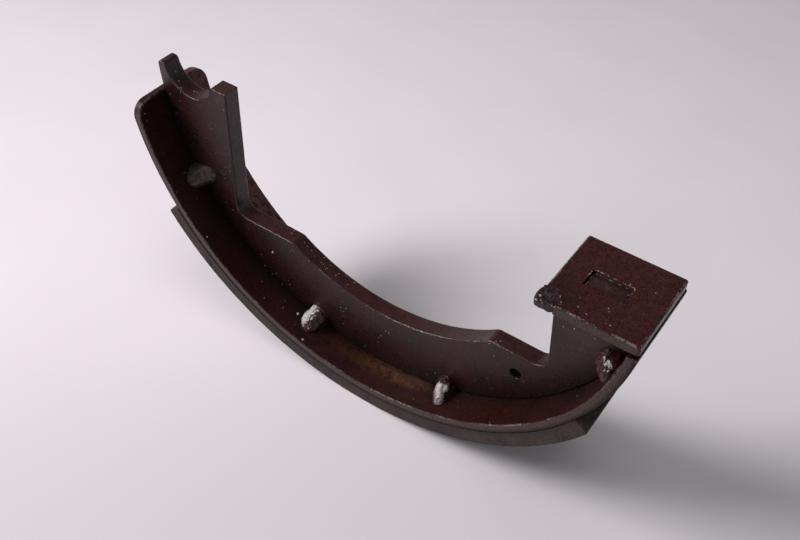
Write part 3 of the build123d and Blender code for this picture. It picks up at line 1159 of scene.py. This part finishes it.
def make_surroundings():
    """Studio round the shoe: pale low down and dark overhead."""
    world = bpy.data.worlds.new("studio")
    bpy.context.scene.world = world
    world.use_nodes = True
    tree = world.node_tree
    tree.nodes.clear()
    towards = add_node(tree, "ShaderNodeTexCoord", {}).outputs["Generated"]
    height = add_node(tree, "ShaderNodeSeparateXYZ", {"Vector": towards}).outputs["Z"]
    level = add_node(
        tree,
        "ShaderNodeMapRange",
        {
            "Value": height,
            "From Min": 0.25,
            "From Max": 0.70,
            "To Min": SKY_LOW,
            "To Max": SKY_HIGH,
        },
    )
    sky = add_node(
        tree, "ShaderNodeBackground", {"Color": linear(SKY_COLOUR), "Strength": level}
    )
    add_node(tree, "ShaderNodeOutputWorld", {"Surface": sky})


def make_camera():
    """Camera at arm's length, above the cam end and to the near side."""
    camera = bpy.data.cameras.new("camera")
    camera.lens = CAMERA_LENS
    camera.sensor_width = SENSOR_WIDTH
    camera.clip_start = CLIP_START
    holder = bpy.data.objects.new("camera", camera)
    bpy.context.scene.collection.objects.link(holder)
    turn = (CAMERA_AIM - CAMERA_PLACE).to_track_quat("-Z", "Y").to_matrix()
    turn = turn @ Matrix.Rotation(CAMERA_ROLL, 3, "Z")
    holder.matrix_world = Matrix.Translation(CAMERA_PLACE) @ turn.to_4x4()
    bpy.context.scene.camera = holder


# ---- Operators ----


def ball(middle, reach):
    """Middle and reach of a flattened ball, given in millimetres."""
    return Vector(middle) * MM, Vector(reach) * MM


# Heat stains on the table beside the welds, and the paler end of the near one.
HEAT_STAINS = [
    ball((3.0, -8.0, -112.0), (32.0, 6.5, 14.0)),
    ball((3.0, 8.0, -112.0), (32.0, 6.5, 14.0)),
]
TAN_STAIN = ball((15.0, -6.5, -111.0), (26.0, 6.0, 12.0))
# The deep red-brown of the table's bend towards the cam end.
BEND_STAINS = [
    ball((58.0, -14.0, -97.0), (44.0, 13.0, 40.0)),
    ball((58.0, 14.0, -97.0), (44.0, 13.0, 40.0)),
]
# Painted light on the table's far inside, behind the anchor leg.
FAR_PAINTED_LIGHT = ball((-96.0, 16.0, -54.0), (52.0, 20.0, 68.0))
# Painted shade low on the anchor leg, and a painted sheen on the cam leg.
LEG_SHADE = ball((-50.0, 0.0, -84.0), (34.0, 6.0, 14.0))
CAM_LEG_SHEEN = ball((92.0, 0.0, -36.0), (22.0, 5.0, 30.0))
# Bright specks and painted glints lie thick on the window's rim beside the anchor pocket, and beside
# the finger.
SPECK_FLOCKS = [
    ball((-38.0, 1.0, -72.0), (30.0, 5.4, 18.0)),
    ball((-96.0, 0.0, -10.0), (12.0, 6.0, 10.0)),
]
# No worn edge and no painted glint round the spring hole.
SPRING_HOLE_RIM = ball((67.4, 0.0, -73.8), (5.0, 6.0, 5.0))
# No worn edge and no painted glint along the front and left of the plate's slot.
SLOT_SHELTER_SHIFT = Vector((-2.0, -3.5, 0.0)) * MM
SLOT_SHELTER_REACH = Vector((12.0, 5.0, 6.0)) * MM
# Scorched paint round the plate's burnt corner.
BURN_REACH = Vector((22.0, 22.0, 8.0)) * MM


def slot_middle():
    """Middle of the cam plate's slot, level with the plate's face."""
    low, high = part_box("cam_plate")
    return Vector(((low.x + high.x) / 2, 0.0, CAM_FACE))


class BRAKE_SHOE_OT_web(bpy.types.Operator):
    """Dress the web in painted steel with worn edges"""

    bl_idname = "brake_shoe.web"
    bl_label = "Web"

    def execute(self, context):
        colours = context.scene.shoe_colours
        sizes = context.scene.shoe_sizes
        # Painted shade: the tenon's top lies deep in its slot, so it is darkened nearly black.
        low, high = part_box("cam_plate")
        stains_and_painted_patches = [
            (slot_middle(), (high - low) / 2, colours.dark_paint_and_shade),
            (*LEG_SHADE, colours.dark_paint_and_shade),
            (*CAM_LEG_SHEEN, colours.cam_leg_sheen),
        ]
        paint = painted_steel(
            "stoved_web_paint",
            colours,
            sizes,
            WEB_FINISH,
            stains_and_painted_patches,
            sheltered=[SPRING_HOLE_RIM],
            flocks=SPECK_FLOCKS,
        )
        dress_node("web", "web_plate", paint, sizes.steel_edge)
        return {"FINISHED"}


class BRAKE_SHOE_OT_table(bpy.types.Operator):
    """Dress the rolled table in painted steel"""

    bl_idname = "brake_shoe.table"
    bl_label = "Table"

    def execute(self, context):
        colours = context.scene.shoe_colours
        sizes = context.scene.shoe_sizes
        stains_and_painted_patches = [(*place, colours.heat_stain) for place in HEAT_STAINS]
        stains_and_painted_patches += [(*place, colours.deep_stain) for place in BEND_STAINS]
        stains_and_painted_patches.append((*TAN_STAIN, colours.tan_stain))
        # Laid on twice, the painted light is nearly even.
        stains_and_painted_patches += [(*FAR_PAINTED_LIGHT, colours.far_light_tone)] * 2
        paint = painted_steel("stoved_table_paint", colours, sizes, TABLE_FINISH, stains_and_painted_patches)
        dress_node("table", "rolled_table", paint, sizes.steel_edge)
        return {"FINISHED"}


class BRAKE_SHOE_OT_lining(bpy.types.Operator):
    """Dress the friction lining"""

    bl_idname = "brake_shoe.lining"
    bl_label = "Lining"

    def execute(self, context):
        colours = context.scene.shoe_colours
        sizes = context.scene.shoe_sizes
        lining = friction_lining(colours, sizes)
        dress_node("lining", "friction_block", lining, sizes.lining_edge)
        return {"FINISHED"}


class BRAKE_SHOE_OT_adhesive(bpy.types.Operator):
    """Dress the adhesive film between table and lining"""

    bl_idname = "brake_shoe.adhesive"
    bl_label = "Adhesive"

    def execute(self, context):
        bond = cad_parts["bond_line"]
        bond.data.materials.clear()
        bond.data.materials.append(
            adhesive_film(context.scene.shoe_colours, context.scene.shoe_sizes)
        )
        return {"FINISHED"}


class BRAKE_SHOE_OT_cam_plate(bpy.types.Operator):
    """Dress the cam plate, with its burnt corner and worn edges"""

    bl_idname = "brake_shoe.cam_plate"
    bl_label = "Cam plate"

    def execute(self, context):
        colours = context.scene.shoe_colours
        sizes = context.scene.shoe_sizes
        low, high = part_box("cam_plate")
        burnt_corner = Vector((low.x, low.y, CAM_FACE))
        paint = painted_steel(
            "stoved_cam_plate_paint",
            colours,
            sizes,
            PLATE_FINISH,
            [(burnt_corner, BURN_REACH, colours.dark_paint_and_shade)],
            sheltered=[(slot_middle() + SLOT_SHELTER_SHIFT, SLOT_SHELTER_REACH)],
        )
        dress_node("cam_plate", "cam_pad", paint, sizes.steel_edge)
        return {"FINISHED"}


class BRAKE_SHOE_OT_plate_welds(bpy.types.Operator):
    """Make the rough fillets under the cam plate and the crust in its burnt corner"""

    bl_idname = "brake_shoe.plate_welds"
    bl_label = "Plate welds"

    def execute(self, context):
        colours = context.scene.shoe_colours
        sizes = context.scene.shoe_sizes
        fillet = weld_metal("plate_weld_metal", colours, sizes, colours.weld)
        for seed, side in enumerate(SIDES):
            make_rough_weld(
                "plate_bead_" + side, "plate_weld_" + side, fillet, sizes, FILLET_SHAPE, seed
            )
        crust = weld_metal("burnt_corner_metal", colours, sizes, colours.crust)
        make_rough_weld("corner_crust", "weld_crust", crust, sizes, CRUST_SHAPE, len(SIDES))
        return {"FINISHED"}


class BRAKE_SHOE_OT_tack_welds(bpy.types.Operator):
    """Make the short weld beads that join web and table, and their spatter"""

    bl_idname = "brake_shoe.tack_welds"
    bl_label = "Tack welds"

    def execute(self, context):
        colours = context.scene.shoe_colours
        sizes = context.scene.shoe_sizes
        glossy = weld_metal("tack_weld_metal", colours, sizes, colours.weld)
        dull = weld_metal("dull_tack_metal", colours, sizes, colours.lit_facet_weld, DULL)
        for side_name, side in SIDES.items():
            for index, shape in enumerate(TACK_SHAPES):
                place = "%s_%d" % (side_name, index + 1)
                seed = index + len(TACK_SHAPES) * side
                # The tack without streaks of scale is drawn in the paler grey of painted light.
                weld = glossy if shape.streaks else dull
                make_bead("tack_bead_" + place, "tack_weld_" + place, side, weld, sizes, shape, seed)
        make_spatter("weld_spatter", glossy)
        return {"FINISHED"}


class BRAKE_SHOE_OT_stage(bpy.types.Operator):
    """Make the floor, the lamps, the surroundings and the camera"""

    bl_idname = "brake_shoe.stage"
    bl_label = "Stage"

    def execute(self, context):
        make_floor(context.scene.shoe_colours)
        for lamp in LAMPS:
            make_lamp(*lamp)
        make_surroundings()
        make_camera()
        context.scene.view_settings.view_transform = "Standard"
        return {"FINISHED"}


OPERATORS = [
    BRAKE_SHOE_OT_web,
    BRAKE_SHOE_OT_table,
    BRAKE_SHOE_OT_lining,
    BRAKE_SHOE_OT_adhesive,
    BRAKE_SHOE_OT_cam_plate,
    BRAKE_SHOE_OT_plate_welds,
    BRAKE_SHOE_OT_tack_welds,
    BRAKE_SHOE_OT_stage,
]


class BRAKE_SHOE_PT_sidebar(bpy.types.Panel):
    """Lists the steps that dress the shoe"""

    bl_idname = "BRAKE_SHOE_PT_sidebar"
    bl_label = "Brake Shoe"
    bl_space_type = "VIEW_3D"
    bl_region_type = "UI"
    bl_category = "Brake Shoe"

    def draw(self, context):
        for operator in OPERATORS:
            self.layout.operator(operator.bl_idname)
        for group in (context.scene.shoe_sizes, context.scene.shoe_colours):
            for name in group.bl_rna.properties.keys():
                if name not in ("rna_type", "name"):
                    self.layout.prop(group, name)


CLASSES = [ShoeSizes, ShoeColours] + OPERATORS + [BRAKE_SHOE_PT_sidebar]


def register():
    """Register the classes and put their settings on the scene."""
    for each in CLASSES:
        bpy.utils.register_class(each)
    bpy.types.Scene.shoe_sizes = bpy.props.PointerProperty(type=ShoeSizes)
    bpy.types.Scene.shoe_colours = bpy.props.PointerProperty(type=ShoeColours)


def unregister():
    """Take the settings off the scene and unregister the classes."""
    del bpy.types.Scene.shoe_sizes
    del bpy.types.Scene.shoe_colours
    for each in reversed(CLASSES):
        bpy.utils.unregister_class(each)


def main():
    """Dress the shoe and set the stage."""
    register()
    bpy.ops.brake_shoe.web()
    bpy.ops.brake_shoe.table()
    bpy.ops.brake_shoe.lining()
    bpy.ops.brake_shoe.adhesive()
    bpy.ops.brake_shoe.cam_plate()
    bpy.ops.brake_shoe.plate_welds()
    bpy.ops.brake_shoe.tack_welds()
    bpy.ops.brake_shoe.stage()


if __name__ == "__main__":
    main()
